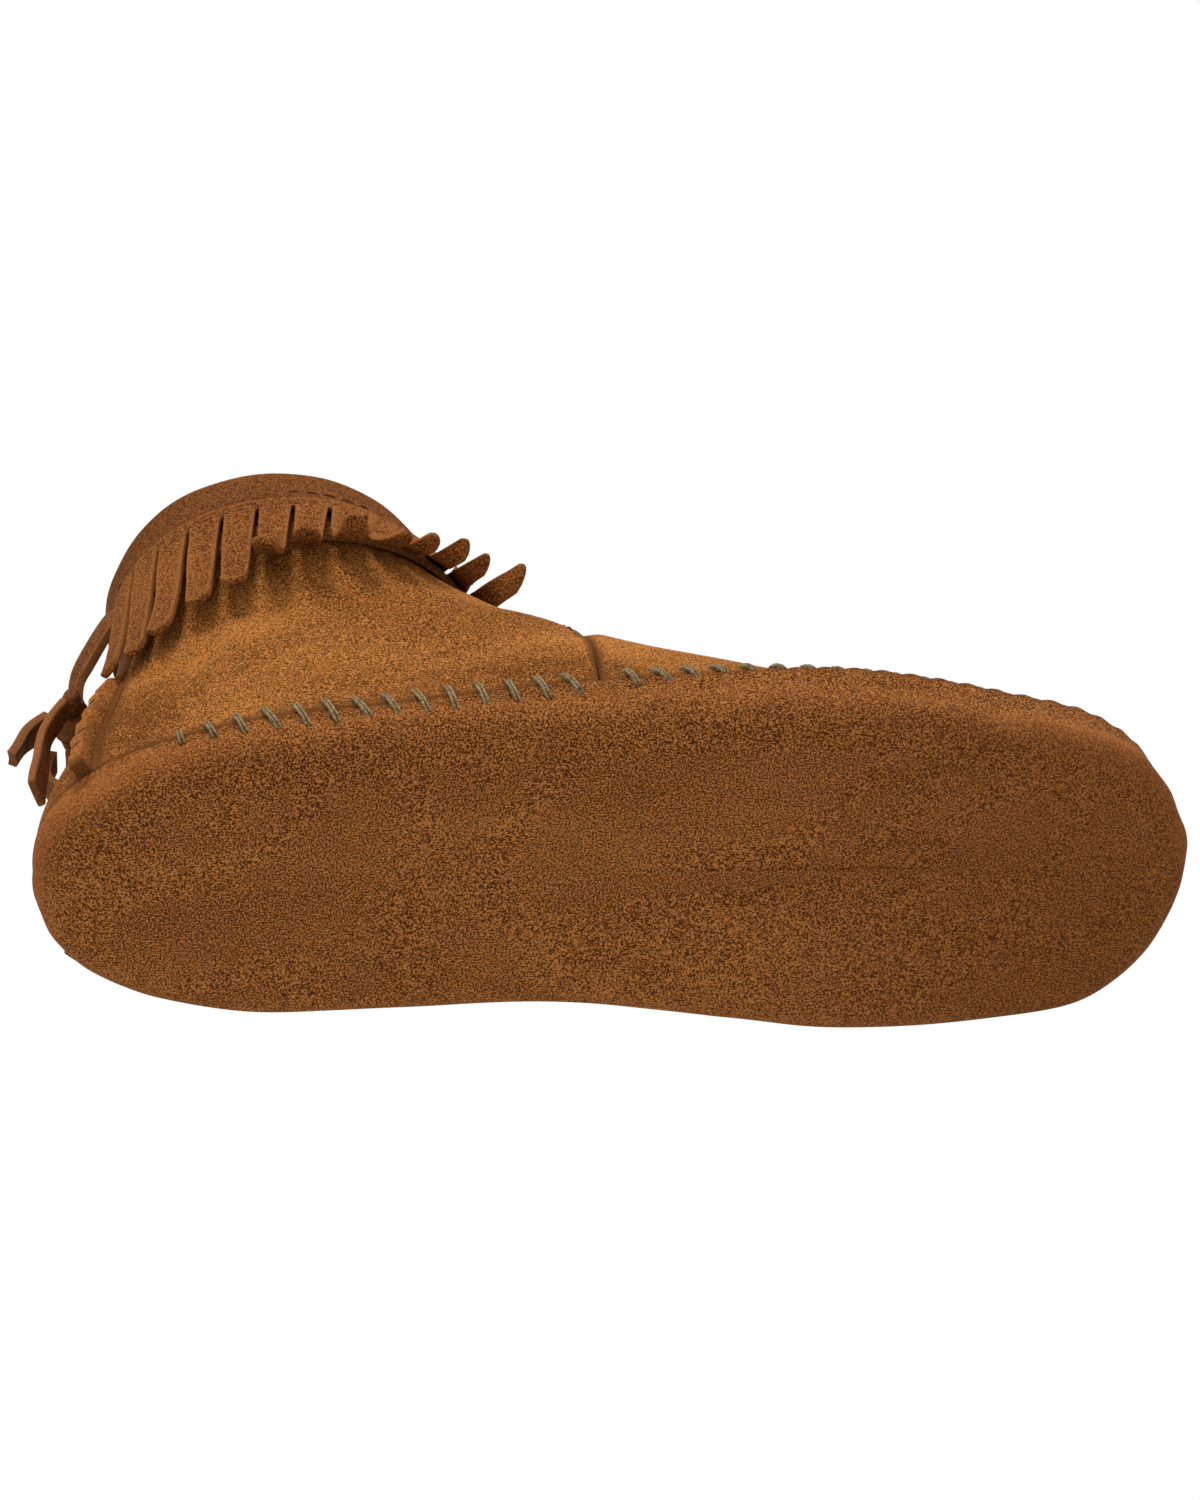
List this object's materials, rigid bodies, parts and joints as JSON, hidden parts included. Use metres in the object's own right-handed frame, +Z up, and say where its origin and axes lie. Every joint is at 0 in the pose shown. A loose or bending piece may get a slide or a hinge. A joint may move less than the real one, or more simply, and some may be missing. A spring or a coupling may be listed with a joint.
{
  "type": "ankle moccasin",
  "caption": "Right-foot ankle moccasin in brown suede: soft sole sewn to the upper by hand, fringed collar, and a thong tied in a bow behind the heel.",
  "frame": {"origin": "on the ground, under the middle of the sole's length", "axes": "+X to the toe, +Y to the inner (big-toe) side, +Z up out of the ankle opening"},
  "size_m": [0.261, 0.0971, 0.1126],
  "materials": {
    "upper_suede": "napped suede, orange brown",
    "sole_suede": "coarse napped suede, golden brown",
    "trim_suede": "fine napped suede, mid brown",
    "thong_suede": "cut suede strap",
    "insole_suede": "worn suede lining",
    "foam": "soft foam padding",
    "waxed_thread": "waxed twisted thread"
  },
  "bodies": {
    "shoe": {"bottom": "sole_suede", "foam_pad": "foam", "insole": "insole_suede", "plug": "upper_suede", "quarter": "upper_suede", "back_panel": "upper_suede", "collar_band": "trim_suede", "fringe_band": "trim_suede", "thong_run": "thong_suede", "thong_knot": "thong_suede", "thong_strand_outer": "thong_suede", "thong_strand_inner": "thong_suede", "thread_plug": "waxed_thread", "thread_side_outer": "waxed_thread", "thread_side_inner": "waxed_thread", "thread_back_outer": "waxed_thread", "thread_back_inner": "waxed_thread", "thread_collar": "waxed_thread", "thread_fringe": "waxed_thread", "thread_lap": "waxed_thread"},
    "tail_long": {"thong_tail_long": "thong_suede"},
    "tail_short": {"thong_tail_short": "thong_suede"},
    "bow": {"thong_bow": "thong_suede"}
  },
  "joints": [
    {"name": "tail_long_swing", "type": "hinge", "parent": "shoe", "child": "tail_long", "pos_m": [-0.1199, -0.0073, 0.0622], "axis": [0, 1, 0], "range_deg": [0, 75], "stiffness_Nm_per_rad": 0.0001},
    {"name": "tail_short_swing", "type": "hinge", "parent": "shoe", "child": "tail_short", "pos_m": [-0.124, 0, 0.0672], "axis": [0, 1, 0], "range_deg": [0, 60], "stiffness_Nm_per_rad": 0.0001},
    {"name": "bow_swing", "type": "hinge", "parent": "shoe", "child": "bow", "pos_m": [-0.1209, 0.0073, 0.062], "axis": [0, 1, 0], "range_deg": [0, 75], "stiffness_Nm_per_rad": 0.0001}
  ]
}
